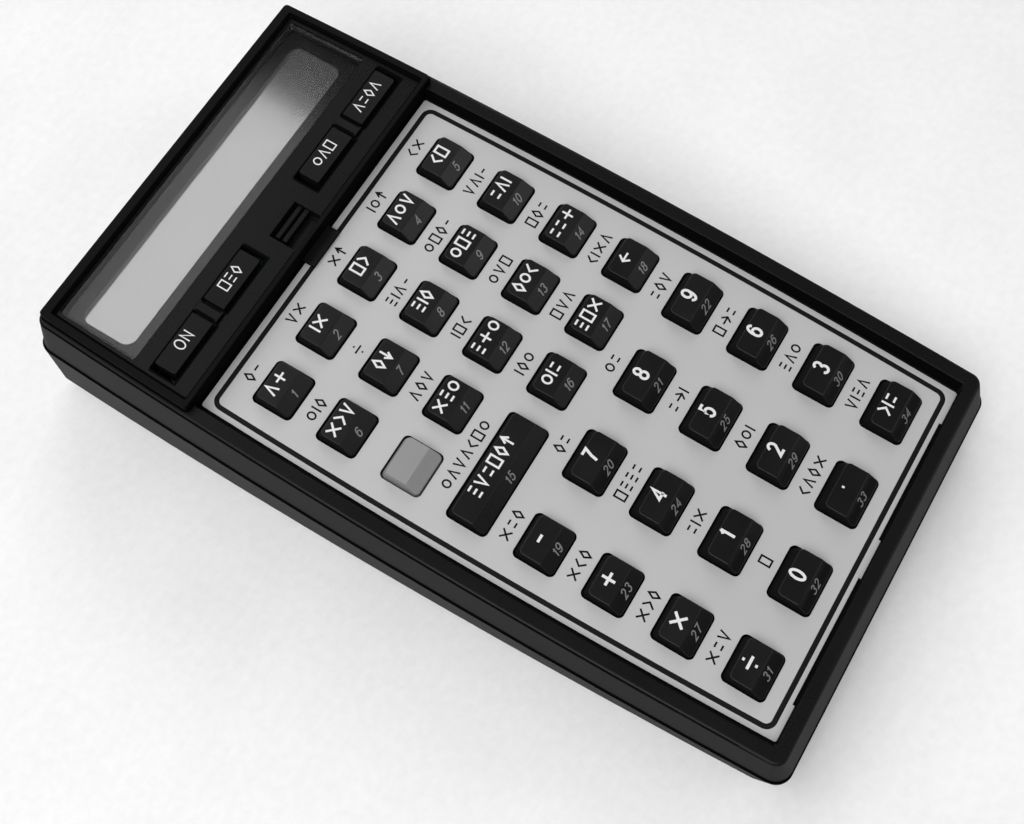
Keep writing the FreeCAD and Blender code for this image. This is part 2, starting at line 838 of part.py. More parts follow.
def logic_posts():
    xs = (-logic_board_half_width + logic_post_inset, logic_board_half_width - logic_post_inset)
    ys = (logic_board_front_y + logic_post_inset, logic_board_rear_y - logic_post_inset)
    return [(x, y) for x in xs for y in ys]


def make_logic_board():
    bottom = logic_board_z - board_thickness
    board = block(-logic_board_half_width, logic_board_half_width, logic_board_front_y, logic_board_rear_y,
                  bottom, logic_board_z)
    cuts = [rod(post_pin_radius + pin_clearance, x, y, bottom - overcut, logic_board_z + overcut)
            for x, y in logic_posts()]
    return board.cut(cuts)


# Chips on the logic board, its quartz can, and the block that joins it to the keyboard board
def make_components():
    parts = []
    chip_top = logic_board_z + chip_height
    for x, y, width, depth in chips:
        parts.append(block(x - width / 2, x + width / 2, y - depth / 2, y + depth / 2,
                           logic_board_z, chip_top))
    parts.append(rod(crystal_radius, crystal_x, crystal_y, logic_board_z, logic_board_z + crystal_height))
    rear = logic_board_rear_y - connector_inset
    parts.append(block(-connector_width / 2, connector_width / 2, rear - connector_depth, rear,
                       logic_board_z, keyboard_board_z - board_thickness))
    return Part.makeCompound(parts)


def make_beeper():
    centre_y = base_y(beeper_y)
    disc = rod(beeper_radius, 0, centre_y, wall, wall + beeper_thickness / 2)
    cap = rod(beeper_cap_radius, 0, centre_y, wall + beeper_thickness / 2, wall + beeper_thickness)
    return from_base(disc.fuse(cap).removeSplitter())


# Rear sockets
def port_frame_size():
    half_width = port_width + port_middle_web / 2 + port_frame_side_wall
    top_z = parting_z(case_rear_y) - port_top_gap
    bottom_z = base_z(case_rear_y) + wall + port_floor_gap
    return half_width, bottom_z, top_z


def port_boxes():
    boxes = []
    _, bottom_z, top_z = port_frame_size()
    port_height = (top_z - bottom_z - port_web) / 2 - port_frame_wall
    upper_z = top_z - port_frame_wall - port_height
    for label, z0 in (("upper", upper_z), ("lower", bottom_z + port_frame_wall)):
        for side, hand in ((-1, "left"), (1, "right")):
            x0 = port_middle_web / 2 if side > 0 else -port_middle_web / 2 - port_width
            boxes.append((f"{label}_{hand}", x0, x0 + port_width, z0, z0 + port_height))
    return boxes


def port_front_y():
    return case_rear_y - port_depth - port_frame_wall


# All that lies behind the rear wall, to trim what ends flush with it
def behind_rear_wall():
    far_y = base_rear_y + wall
    profile = [Vector(-case_half, y, z) for y, z in (
        (case_rear_y, parting_z(case_rear_y)), (base_rear_y, base_z(base_rear_y)),
        (far_y, base_z(base_rear_y)), (far_y, parting_z(case_rear_y)))]
    return Part.Face(Part.makePolygon(profile + profile[:1])).extrude(Vector(2 * case_half, 0, 0))


def make_port_frame():
    half_width, bottom_z, top_z = port_frame_size()
    body = block(-half_width, half_width, port_front_y(), rear_wall_y(bottom_z), bottom_z, top_z)
    cuts = [block(x0, x1, case_rear_y - port_depth, rear_wall_y(z0) + overcut, z0, z1)
            for _, x0, x1, z0, z1 in port_boxes()]
    return body.cut(cuts + [behind_rear_wall()])


def make_port_cap(x0, x1, z0, z1):
    gap = port_cap_clearance
    outer = block(x0 + gap, x1 - gap, case_rear_y - port_cap_collar, rear_wall_y(z0), z0 + gap, z1 - gap)
    hollow = block(x0 + gap + port_cap_wall, x1 - gap - port_cap_wall,
                   case_rear_y - port_cap_collar - overcut, rear_wall_y(z1) - port_cap_face,
                   z0 + gap + port_cap_wall, z1 - gap - port_cap_wall)
    middle_x = (x0 + x1) / 2
    grip_top_z = z0 + port_grip_inset + port_grip_height
    grip = block(middle_x - port_grip_width / 2, middle_x + port_grip_width / 2,
                 rear_wall_y(grip_top_z) - port_grip_depth, rear_wall_y(z0) + overcut,
                 z0 + port_grip_inset, grip_top_z)
    return outer.cut([hollow, grip, behind_rear_wall()])


# Battery bay measured on the base: half width, front, rear
def bay_size():
    across = cell_count * 2 * cell_radius + (cell_count - 1) * cell_gap
    half_width = across / 2 + holder_wall + bay_clearance
    front = base_y(bay_front_y)
    rear = front + cell_length + 2 * contact_space + 2 * bay_clearance
    return half_width, front, rear


def make_bottom_case():
    shell = between(
        outline(case_half, case_front_y, case_rear_y, parting_corner, -parting_depth, -parting_slope),
        outline(base_half, base_front_y, base_rear_y, base_corner, -base_depth, -base_slope),
    )
    low_edges = [edge for edge in shell.Edges
                 if all(abs(vertex.Z - base_z(vertex.Y)) < 1e-6 for vertex in edge.Vertexes)]
    shell = shell.makeFillet(base_edge_radius, low_edges)
    lift = wall / cos_tip
    cavity = between(
        outline(case_half - wall, case_front_y + wall, case_rear_y - wall, cavity_corner,
                -parting_depth, -parting_slope),
        outline(base_half - wall, base_front_y + wall, base_rear_y - wall, base_corner - wall / 2,
                -base_depth + lift, -base_slope),
    )
    floor_edges = [edge for edge in cavity.Edges
                   if all(abs(vertex.Z - base_z(vertex.Y) - lift) < 1e-6 for vertex in edge.Vertexes)]
    cavity = cavity.makeFillet(base_edge_radius - wall, floor_edges)
    case = shell.cut(cavity)
    half_width, front, rear = bay_size()
    bay_block = from_base(block(-half_width - bay_wall, half_width + bay_wall, front - bay_wall,
                                rear + bay_wall, wall / 2, bay_roof + bay_wall))
    tongue = tongue_ring(wall - tongue_ledge - tongue_thickness, wall - tongue_ledge, -root, tongue_height)
    additions = [bay_block, tongue]
    for x, y in screw_places():
        additions.append(base_post(lower_boss_radius, x, y, wall / 2, screw_split(y)))
    for x, y in logic_posts():
        board_under_z = logic_board_z - board_thickness
        additions.append(rod(post_radius, x, y, base_z(y) + wall / 2, board_under_z))
        additions.append(rod(post_pin_radius, x, y, board_under_z, logic_board_z + pin_end))
    case = case.fuse(additions)
    cuts = [from_base(block(-half_width, half_width, front, rear, -overcut, bay_roof))]
    frame_half, frame_bottom_z, frame_top_z = port_frame_size()
    cuts.append(block(-frame_half - port_seat_clearance, frame_half + port_seat_clearance,
                      case_rear_y - wall - overcut, rear_wall_y(frame_bottom_z) + overcut,
                      frame_bottom_z - port_seat_clearance, frame_top_z + port_seat_clearance))
    for x, y in screw_places():
        cuts.append(base_post(screw_radius + screw_hole_clearance, x, y, -overcut,
                              screw_split(y) + overcut))
        cuts.append(base_post(screw_head_radius + screw_hole_clearance, x, y, -overcut,
                              screw_head_depth))
    for x, y in foot_places():
        cuts.append(from_base(rod(foot_radius, x, base_y(y), -overcut, foot_recess)))
    return case.cut(cuts).removeSplitter()


def foot_places():
    return [(-foot_x, front_foot_y), (foot_x, front_foot_y), (-foot_x, rear_foot_y), (foot_x, rear_foot_y)]


def make_feet():
    feet = []
    for x, y in foot_places():
        foot = rod(foot_radius, x, base_y(y), -foot_stand, foot_recess)
        rim = [edge for edge in foot.Edges if all(abs(v.Z + foot_stand) < 1e-6 for v in edge.Vertexes)]
        feet.append(from_base(foot.makeFillet(foot_edge_radius, rim)))
    return Part.makeCompound(feet)


def make_screws():
    screws = []
    for x, y in screw_places():
        y_on_base = base_y(y)
        head_face = screw_head_depth - screw_head_height
        head = rod(screw_head_radius, x, y_on_base, head_face, screw_head_depth)
        shank = rod(screw_radius, x, y_on_base, screw_head_depth, screw_roof(y) - screw_end_gap)
        slots = []
        for width, length in ((screw_slot_length, screw_slot_width), (screw_slot_width, screw_slot_length)):
            slots.append(block(x - width / 2, x + width / 2, y_on_base - length / 2, y_on_base + length / 2,
                               head_face - overcut, head_face + screw_slot_depth))
        screws.append(from_base(head.fuse(shank).cut(slots).removeSplitter()))
    return Part.makeCompound(screws)


def cell_places():
    step = 2 * cell_radius + cell_gap
    return [(index - (cell_count - 1) / 2) * step for index in range(cell_count)]


def make_holder():
    half_width, front, rear = bay_size()
    outer_half = half_width - bay_clearance
    y0 = front + bay_clearance
    y1 = rear - bay_clearance
    tray = block(-outer_half, outer_half, y0, y1, 0, holder_wall_height)
    hollow = block(-outer_half + holder_wall, outer_half - holder_wall, y0 + holder_end_wall,
                   y1 - holder_end_wall, holder_floor, holder_wall_height + overcut)
    cuts = [hollow]
    slot_half = contact_width / 2 + contact_slot_gap
    for x in cell_places():
        cuts.append(block(x - slot_half, x + slot_half, y0 - overcut, y1 + overcut, holder_floor,
                          holder_wall_height + overcut))
    middle_y = (y0 + y1) / 2
    for index in range(grip_rib_count):
        y = middle_y + (index - (grip_rib_count - 1) / 2) * grip_rib_pitch
        cuts.append(block(-grip_rib_length / 2, grip_rib_length / 2, y - grip_rib_pitch / 4,
                          y + grip_rib_pitch / 4, -overcut, grip_rib_depth))
    return from_base(tray.cut(cuts))


def cell_centre_z():
    return holder_floor + cell_radius


def make_cells():
    _, front, rear = bay_size()
    middle_y = (front + rear) / 2
    cells = []
    body_length = cell_length - cell_cap_height
    for index, x in enumerate(cell_places()):
        direction = 1 if index % 2 == 0 else -1
        start = Vector(x, middle_y - direction * cell_length / 2, cell_centre_z())
        axis = Vector(0, direction, 0)
        body = Part.makeCylinder(cell_radius, body_length, start, axis)
        cap = Part.makeCylinder(cell_cap_radius, cell_cap_height, start + axis * body_length, axis)
        cells.append(from_base(body.fuse(cap).removeSplitter()))
    return Part.makeCompound(cells)


def make_contacts():
    _, front, rear = bay_size()
    middle_y = (front + rear) / 2
    contacts = []
    z0 = cell_centre_z() - contact_height / 2
    for x in cell_places():
        for wall_y, side in ((front, 1), (rear, -1)):
            near = wall_y + side * contact_thickness
            plate = block(x - contact_width / 2, x + contact_width / 2,
                          min(wall_y, near), max(wall_y, near), z0, z0 + contact_height)
            tip = middle_y - side * (cell_length / 2 + contact_cell_gap)
            bump = Part.makeCone(contact_bump_radius + contact_bump_flare, contact_bump_radius,
                                 abs(tip - near), Vector(x, near, cell_centre_z()), Vector(0, side, 0))
            contacts.append(from_base(plate.fuse(bump).removeSplitter()))
    return Part.makeCompound(contacts)


# The finished calculator stands on its feet, with the middle of its length and width at the origin.
# The rear end is where the round edge of the leaning wall reaches furthest.
def length_limits():
    rear_low = base_y(base_rear_y)
    rear_high = case_rear_y * cos_tip - parting_z(case_rear_y) * sin_tip
    front_high = case_front_y * cos_tip - parting_z(case_front_y) * sin_tip
    wall_height = case_rear_y * sin_tip + parting_z(case_rear_y) * cos_tip + base_depth * cos_tip
    lean = math.atan2(rear_low - rear_high, wall_height)
    rounded_off = base_edge_radius * (math.tan(lean) + 1.0 / math.cos(lean) - 1.0)
    return front_high, max(rear_low - rounded_off, rear_high)


def settle(shape):
    settled = shape.copy()
    front, rear = length_limits()
    settled.rotate(Vector(0, 0, 0), Vector(1, 0, 0), tip_angle)
    settled.translate(Vector(0, -(front + rear) / 2, base_depth * cos_tip + foot_stand))
    return settled


def build_nodes():
    nodes = {
        "top_case": make_top_case(),
        "bottom_case": make_bottom_case(),
        "faceplate": make_faceplate(),
        "display_bezel": make_bezel(),
        "display_window": make_window(),
        "display_mask": make_mask(),
        "lcd_panel": make_lcd(),
        "display_board": make_display_board(),
        "rocker_left": make_rocker(-slot_centre_x),
        "rocker_right": make_rocker(slot_centre_x),
        "keyboard_board": make_keyboard_board(),
        "switch_domes": make_domes(),
        "logic_board": make_logic_board(),
        "circuit_components": make_components(),
        "beeper": make_beeper(),
        "port_frame": make_port_frame(),
        "battery_holder": make_holder(),
        "battery_cells": make_cells(),
        "battery_contacts": make_contacts(),
        "case_screws": make_screws(),
        "rubber_feet": make_feet(),
    }
    for label, x0, x1, z0, z1 in port_boxes():
        nodes[f"port_cap_{label}"] = make_port_cap(x0, x1, z0, z1)
    nodes.update(all_keys())
    return {name: settle(shape) for name, shape in nodes.items()}


os.makedirs("parts", exist_ok=True)
for name, shape in build_nodes().items():
    shape.exportStep(f"parts/{name}.step")
    box = shape.BoundBox
    print(f"{name}: {len(shape.Solids)} solid(s), valid {shape.isValid()}, {shape.Volume:.1f} mm3, "
          f"x {box.XMin:.2f} {box.XMax:.2f}, y {box.YMin:.2f} {box.YMax:.2f}, "
          f"z {box.ZMin:.2f} {box.ZMax:.2f}")
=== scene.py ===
import math
import bpy
import bmesh
from mathutils import Matrix, Vector


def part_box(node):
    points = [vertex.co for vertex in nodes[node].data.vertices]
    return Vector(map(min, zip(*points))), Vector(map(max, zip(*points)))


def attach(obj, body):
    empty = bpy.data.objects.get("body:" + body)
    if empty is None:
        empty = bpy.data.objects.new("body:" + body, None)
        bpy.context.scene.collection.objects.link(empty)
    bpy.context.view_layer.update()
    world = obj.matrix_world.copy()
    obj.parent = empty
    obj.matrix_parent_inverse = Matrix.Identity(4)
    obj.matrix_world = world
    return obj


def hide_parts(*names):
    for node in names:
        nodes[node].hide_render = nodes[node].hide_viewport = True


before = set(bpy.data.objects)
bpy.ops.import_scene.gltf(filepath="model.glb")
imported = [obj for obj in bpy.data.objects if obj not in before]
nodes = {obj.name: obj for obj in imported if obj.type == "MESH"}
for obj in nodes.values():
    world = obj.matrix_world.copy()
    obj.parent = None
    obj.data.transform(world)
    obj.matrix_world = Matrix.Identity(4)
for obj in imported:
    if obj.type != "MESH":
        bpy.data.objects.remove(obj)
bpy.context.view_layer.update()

print("frame loaded,", len(nodes), "nodes")

# The keyboard face is tipped, so pieces on it are drawn flat in millimetres and turned onto it.
# x runs across, y up the keyboard, and z is 0 on the plate that the keys come through.
face = {"slope": 0.119, "frontY": -52.555, "rearY": 52.295, "bowRadius": 1650, "bowY": 16, "caseHalf": 39.5}
tip = math.atan(face["slope"])
plateLow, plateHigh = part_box("faceplate")
faceY = plateLow.y * 1000 - face["frontY"] * math.cos(tip)
faceZ = plateHigh.z * 1000 - face["rearY"] * math.sin(tip)
faceMatrix = (Matrix.Scale(0.001, 4) @ Matrix.Translation((0, faceY, faceZ))
              @ Matrix.Rotation(tip, 4, "X"))


# The long sides bulge a little: x of a line that is half wide at the middle of the bulge
def bowedX(half, y):
    centreX = face["caseHalf"] - face["bowRadius"]
    return centreX + math.sqrt((half - centreX) ** 2 - (y - face["bowY"]) ** 2)


# A mesh drawn on the flat face becomes a piece that rides on a body, its finishes in the order of layers
def addPiece(name, mesh, layers, body, stands=()):
    mesh.transform(faceMatrix)
    for layer in layers:
        mesh.materials.append(made[layer])
    piece = bpy.data.objects.new(name, mesh)
    bpy.context.collection.objects.link(piece)
    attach(piece, body)
    if stands:
        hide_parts(*stands)
    return piece


def finishShape(shape, name):
    bmesh.ops.recalc_face_normals(shape, faces=shape.faces)
    mesh = bpy.data.meshes.new(name)
    shape.to_mesh(mesh)
    shape.free()
    return mesh


def addShape(name, shape, finishName, body, place=Matrix()):
    mesh = finishShape(shape, name)
    mesh.transform(place)
    return addPiece(name, mesh, [finishName], body)


def evenShading(piece):
    for polygon in piece.data.polygons:
        polygon.use_smooth = True
    weights = piece.modifiers.new("evenShading", "WEIGHTED_NORMAL")
    weights.keep_sharp = True
    weights.weight = 100


# What all finishes share
texture = {"patchDetail": 3, "grainDetail": 4, "grainRoughness": 0.6, "speckle": 0.4,
           "toneStops": (0.3, 0.7), "sideFacing": (0.55, 0.85), "raisedBlend": 0.2, "softenSamples": 4,
           "ior": 1.46}


def addNode(tree, kind, values, links):
    node = tree.nodes.new("ShaderNode" + kind)
    for socket, value in values.items():
        node.inputs[socket].default_value = value
    for socket, origin in links.items():
        tree.links.new(origin, node.inputs[socket])
    return node


def remap(tree, value, fromRange, toRange=(0, 1)):
    ends = {"From Min": fromRange[0], "From Max": fromRange[1], "To Min": toRange[0], "To Max": toRange[1]}
    return addNode(tree, "MapRange", ends, {"Value": value}).outputs["Result"]


# How far a vector reaches in a fixed direction
def reachAlong(tree, vector, direction):
    product = addNode(tree, "VectorMath", {1: direction}, {0: vector})
    product.operation = "DOT_PRODUCT"
    return product.outputs["Value"]


def makeFinish(name, look):
    material = bpy.data.materials.new(name)
    material.use_nodes = True
    tree = material.node_tree
    shader = tree.nodes["Principled BSDF"]
    coordinates = tree.nodes.new("ShaderNodeTexCoord").outputs
    place = coordinates["Object"]
    patches = addNode(tree, "TexNoise", {"Scale": 1000 / look["patch"], "Detail": texture["patchDetail"]},
                      {"Vector": place})
    grain = addNode(tree, "TexNoise", {"Scale": 1000 / look["grain"], "Detail": texture["grainDetail"],
                                       "Roughness": texture["grainRoughness"]}, {"Vector": place})
    # slow and fine change together drive both tone and roughness
    both = addNode(tree, "Mix", {"Factor": look.get("speckle", texture["speckle"])},
                   {"A": patches.outputs["Fac"], "B": grain.outputs["Fac"]}).outputs["Result"]
    tones = addNode(tree, "ValToRGB", {}, {"Fac": both})
    for stop, amount in enumerate((1 - look["spread"], 1 + look["spread"])):
        tones.color_ramp.elements[stop].position = texture["toneStops"][stop]
        tones.color_ramp.elements[stop].color = [channel * amount for channel in look["tone"]] + [1]
    colour = tones.outputs["Color"]
    roughness = remap(tree, both, texture["toneStops"], look["rough"])

    if "shadedSideTone" in look or "sideRough" in look:  # the sides differ from what faces up the keyboard
        upNormal = (0, -math.sin(tip), math.cos(tip))
        topSide = remap(tree, reachAlong(tree, coordinates["Normal"], upNormal), texture["sideFacing"])
        if "raisedFrom" in look:  # what stands above this height looks like the sides
            plateLevel = faceZ * math.cos(tip) - faceY * math.sin(tip)
            level = (plateLevel + look["raisedFrom"]) / 1000
            blend = (level, level + texture["raisedBlend"] / 1000)
            low = remap(tree, reachAlong(tree, place, upNormal), blend, (1, look["raisedShare"]))
            lowTop = addNode(tree, "Math", {}, {0: topSide, 1: low})
            lowTop.operation = "MULTIPLY"
            topSide = lowTop.outputs["Value"]
    # The side tone is painted shade: faces that do not face up the keyboard, and with raisedFrom most of what
    # stands above it, take a darker colour.
    if "shadedSideTone" in look:
        layers = tree.nodes.new("ShaderNodeMix")
        layers.data_type = "RGBA"
        colours = [socket for socket in layers.inputs if socket.type == "RGBA"]
        colours[0].default_value = (*look["shadedSideTone"], 1)
        tree.links.new(topSide, layers.inputs["Factor"])
        tree.links.new(colour, colours[1])
        colour = [socket for socket in layers.outputs if socket.type == "RGBA"][0]
    if "sideRough" in look:
        roughness = addNode(tree, "Mix", {"A": look["sideRough"]},
                            {"Factor": topSide, "B": roughness}).outputs["Result"]
    tree.links.new(colour, shader.inputs["Base Color"])
    tree.links.new(roughness, shader.inputs["Roughness"])

    if look["depth"]:
        bump = addNode(tree, "Bump", {"Distance": look["depth"] / 1000}, {"Height": grain.outputs["Fac"]})
        tree.links.new(bump.outputs["Normal"], shader.inputs["Normal"])
        if "soften" in look:  # takes the hardness off the moulded edges
            edges = addNode(tree, "Bevel", {"Radius": look["soften"] / 1000}, {})
            edges.samples = texture["softenSamples"]
            tree.links.new(edges.outputs["Normal"], bump.inputs["Normal"])
    shader.inputs["Metallic"].default_value = look.get("metal", 0)
    shader.inputs["IOR"].default_value = texture["ior"]
    shader.inputs["Specular IOR Level"].default_value = look.get("shine", 0.5)
    shader.inputs["Coat Weight"].default_value = look.get("coat", 0)
    return material


def grey(value):
    return (value, value, value)


# Sizes in millimetres: patch is the slow change of tone, grain the fine texture, depth its relief, and
# soften the radius that moulded edges seem to have. The side tone is painted shade, darker on walls and
# cut edges than on what faces up; sideRough is the roughness of walls and cut edges.
finishes = {
    "casePlastic": {"tone": grey(0.0075), "spread": 0.15, "patch": 18, "grain": 0.30, "depth": 0.012,
                    "rough": (0.24, 0.34), "sideRough": 0.62, "soften": 0.28, "shine": 0.14},
    "basePlastic": {"tone": grey(0.0075), "spread": 0.15, "patch": 22, "grain": 0.30, "depth": 0.012,
                    "rough": (0.24, 0.34), "sideRough": 0.62, "soften": 0.28, "shine": 0.14},
    # The frame's sides are darkened as painted shade, and most of what stands above 3.3 mm takes the same
    # dark tone.
    "framePlastic": {"tone": grey(0.0065), "spread": 0.15, "patch": 14, "grain": 0.30, "depth": 0.012,
                     "rough": (0.24, 0.34), "sideRough": 0.85, "soften": 0.28, "shine": 0.15,
                     "shadedSideTone": grey(0.001), "raisedFrom": 3.3, "raisedShare": 0.15},
    # The plate's cut edges, round the key holes too, are darkened as painted shade in the gaps.
    "platePaint": {"tone": grey(0.50), "spread": 0.03, "patch": 30, "grain": 0.22, "depth": 0.010,
                   "rough": (0.42, 0.50), "metal": 0.15, "shadedSideTone": grey(0.02)},
    "keyPlastic": {"tone": grey(0.0065), "spread": 0.12, "patch": 9, "grain": 0.20, "depth": 0.012,
                   "rough": (0.26, 0.36), "shine": 0.35},
    # Key walls: the key plastic again, matte and darker; the darker tone is painted shade.
    "keySidePlastic": {"tone": grey(0.0035), "spread": 0.12, "patch": 9, "grain": 0.20, "depth": 0.012,
                       "rough": (0.80, 0.92), "shine": 0.10},
    "greyKeyPlastic": {"tone": grey(0.27), "spread": 0.04, "patch": 9, "grain": 0.18, "depth": 0.006,
                       "rough": (0.30, 0.38), "shine": 0.35},
    "rockerPlastic": {"tone": grey(0.0065), "spread": 0.10, "patch": 9, "grain": 0.2, "depth": 0.012,
                      "rough": (0.36, 0.46), "soften": 0.1, "shine": 0.15},
    "maskPaint": {"tone": grey(0.009), "spread": 0.10, "patch": 12, "grain": 0.3, "depth": 0.004,
                  "rough": (0.55, 0.65), "shine": 0.3},
    "displayGrey": {"tone": grey(0.45), "spread": 0.02, "patch": 40, "grain": 5, "depth": 0.0,
                    "rough": (0.080, 0.090), "metal": 0.75},
    # Near-black matte finish for the dark skins and strokes below: painted shade, laid where there is only
    # shade.
    "paintedShade": {"tone": grey(0.0015), "spread": 0.10, "patch": 4, "grain": 0.15, "depth": 0.006,
                    "rough": (0.85, 0.95), "shine": 0.05},
    "whiteInk": {"tone": grey(0.72), "spread": 0.04, "patch": 4, "grain": 0.15, "depth": 0.006,
                 "rough": (0.45, 0.55)},
    "greyInk": {"tone": grey(0.22), "spread": 0.05, "patch": 4, "grain": 0.15, "depth": 0.006,
                "rough": (0.45, 0.55)},
    "borderInk": {"tone": grey(0.008), "spread": 0.10, "patch": 4, "grain": 0.15, "depth": 0.006,
                  "rough": (0.45, 0.55), "shine": 0.1},
    "darkInk": {"tone": grey(0.005), "spread": 0.10, "patch": 4, "grain": 0.15, "depth": 0.006,
                "rough": (0.45, 0.55), "shine": 0.1},
    "windowEdge": {"tone": grey(0.10), "spread": 0.05, "patch": 9, "grain": 0.2, "depth": 0.004,
                   "rough": (0.20, 0.30), "shine": 0.6},
    "boardLacquer": {"tone": (0.03, 0.12, 0.05), "spread": 0.25, "patch": 3, "grain": 0.4, "depth": 0.02,
                     "rough": (0.30, 0.45)},
    "platedSteel": {"tone": (0.55, 0.54, 0.52), "spread": 0.10, "patch": 4, "grain": 0.12, "depth": 0.006,
                    "rough": (0.28, 0.42), "metal": 1},
    "discBrass": {"tone": (0.62, 0.45, 0.20), "spread": 0.10, "patch": 4, "grain": 0.12, "depth": 0.006,
                  "rough": (0.30, 0.45), "metal": 1},
    "footRubber": {"tone": grey(0.012), "spread": 0.15, "patch": 3, "grain": 0.25, "depth": 0.03,
                   "rough": (0.75, 0.88), "shine": 0.3},
    "innerPlastic": {"tone": grey(0.010), "spread": 0.12, "patch": 12, "grain": 0.25, "depth": 0.02,
                     "rough": (0.42, 0.55), "soften": 0.1, "shine": 0.3},
    "cellSleeve": {"tone": (0.06, 0.06, 0.065), "spread": 0.2, "patch": 6, "grain": 0.2, "depth": 0.006,
                   "rough": (0.22, 0.34), "coat": 0.4},
}
made = {name: makeFinish(name, look) for name, look in finishes.items()}

# Clear sheet over the display, with faint handling marks in its gloss
glass = {"clear": 0.93, "ior": 1.42, "markScale": 90, "rough": (0.11, 0.14)}


def makeWindowGlass():
    material = bpy.data.materials.new("windowGlass")
    material.use_nodes = True
    tree = material.node_tree
    tree.nodes.remove(tree.nodes["Principled BSDF"])
    place = tree.nodes.new("ShaderNodeTexCoord").outputs["Object"]
    marks = addNode(tree, "TexNoise", {"Scale": glass["markScale"]}, {"Vector": place})
    clear = addNode(tree, "BsdfTransparent", {"Color": (*grey(glass["clear"]), 1)}, {})
    shine = addNode(tree, "BsdfGlossy", {},
                    {"Roughness": remap(tree, marks.outputs["Fac"], (0, 1), glass["rough"])})
    edge = addNode(tree, "Fresnel", {"IOR": glass["ior"]}, {})
    mix = addNode(tree, "MixShader", {}, {"Fac": edge.outputs["Fac"], 1: clear.outputs["BSDF"],
                                          2: shine.outputs["BSDF"]})
    tree.links.new(mix.outputs["Shader"], tree.nodes["Material Output"].inputs["Surface"])
    return material


made["windowGlass"] = makeWindowGlass()
print("finishes made,", len(made))

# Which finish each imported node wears
nodeFinish = {
    "top_case": "casePlastic", "bottom_case": "basePlastic", "faceplate": "platePaint",
    "display_bezel": "framePlastic", "display_window": "windowGlass", "display_mask": "maskPaint",
    "lcd_panel": "displayGrey", "display_board": "boardLacquer", "keyboard_board": "boardLacquer",
    "logic_board": "boardLacquer", "circuit_components": "innerPlastic", "switch_domes": "platedSteel",
    "case_screws": "platedSteel", "battery_contacts": "platedSteel", "beeper": "discBrass",
    "rubber_feet": "footRubber", "port_frame": "innerPlastic", "battery_holder": "innerPlastic",
    "battery_cells": "cellSleeve", "rocker_left": "rockerPlastic", "rocker_right": "rockerPlastic",
}
for nodeName, node in nodes.items():
    usual = "innerPlastic" if nodeName.startswith("port_cap") else "keyPlastic"
    for matSlot in node.material_slots:
        matSlot.material = made[nodeFinish.get(nodeName, usual)]

# Keys, in millimetres: what all caps share, the sizes of cap, and where they stand on the keyboard
keyShared = {"corner": 0.8, "frontRise": 0.35, "waist": -0.2, "flangeTop": -2.1, "flangeUnder": -2.9,
             "flangeReach": 0.85, "stemUnder": -3.9, "stemRadius": 1.5, "edge": 0.13, "edgeSteps": 5,
             "crease": 0.1}
keySizes = {
    "small": {"width": 7.8, "depth": 7.05, "rise": 2.0, "sideInset": 0.3, "rearInset": 0.72, "land": 3.95},
    "wide": {"width": 20.2, "depth": 7.05, "rise": 2.0, "sideInset": 0.3, "rearInset": 0.72, "land": 3.95},
    "digit": {"width": 9.06, "depth": 7.05, "rise": 2.2, "sideInset": 0.28, "rearInset": 1.07, "land": 3.85},
}
grid = {"pitch": 12.4, "rowZeroY": 42.32, "columnZeroX": -24.8, "digitX": -8.9, "digitStep": 16.53}


# Right half of a rounded rectangle from its front to its rear edge; the left half mirrors it.
def halfOutline(width, depth, centreY, corner, stations, cornerSteps=5):
    points = []
    for step in range(cornerSteps + 1):
        turn = math.pi / 2 * step / cornerSteps
        points.append((width / 2 - corner + corner * math.sin(turn),
                       centreY - depth / 2 + corner - corner * math.cos(turn)))
    for y in stations:
        points.append((width / 2, y))
    for step in range(cornerSteps + 1):
        turn = math.pi / 2 * step / cornerSteps
        points.append((width / 2 - corner + corner * math.cos(turn),
                       centreY + depth / 2 - corner + corner * math.sin(turn)))
    return points


# Rings of points (right half only) become one closed skin with a strip of faces over each end.
# From ring sideFrom on, the faces take the second finish.
def skinRings(name, rings, sideFrom):
    shape = bmesh.new()
    loops = []
    for ring in rings:
        right = [shape.verts.new(point) for point in ring]
        left = [shape.verts.new((-x, y, z)) for x, y, z in reversed(ring)]
        loops.append(right + left)
    count = len(loops[0])
    for level, (low, high) in enumerate(zip(loops, loops[1:])):
        for i in range(count):
            j = (i + 1) % count
            strip = shape.faces.new((low[i], low[j], high[j], high[i]))
            strip.material_index = int(level >= sideFrom)
    for loop in (loops[0], loops[-1]):
        for i in range(count // 2 - 1):
            shape.faces.new((loop[i], loop[i + 1], loop[count - 2 - i], loop[count - 1 - i]))
    return finishShape(shape, name)


# The top of a key is flat at the rear, and slopes down to the front from a crease
def creaseY(size):
    return size["depth"] / 2 - size["rearInset"] - size["land"]


def frontSlope(size):
    return (size["rise"] - keyShared["frontRise"]) / (creaseY(size) + size["depth"] / 2)


def keyTopZ(size, y):
    ease = keyShared["crease"]
    ahead = creaseY(size) - y
    if ahead <= -ease:
        return size["rise"]
    if ahead >= ease:
        return size["rise"] - frontSlope(size) * ahead
    return size["rise"] - frontSlope(size) * (ahead + ease) ** 2 / (4 * ease)


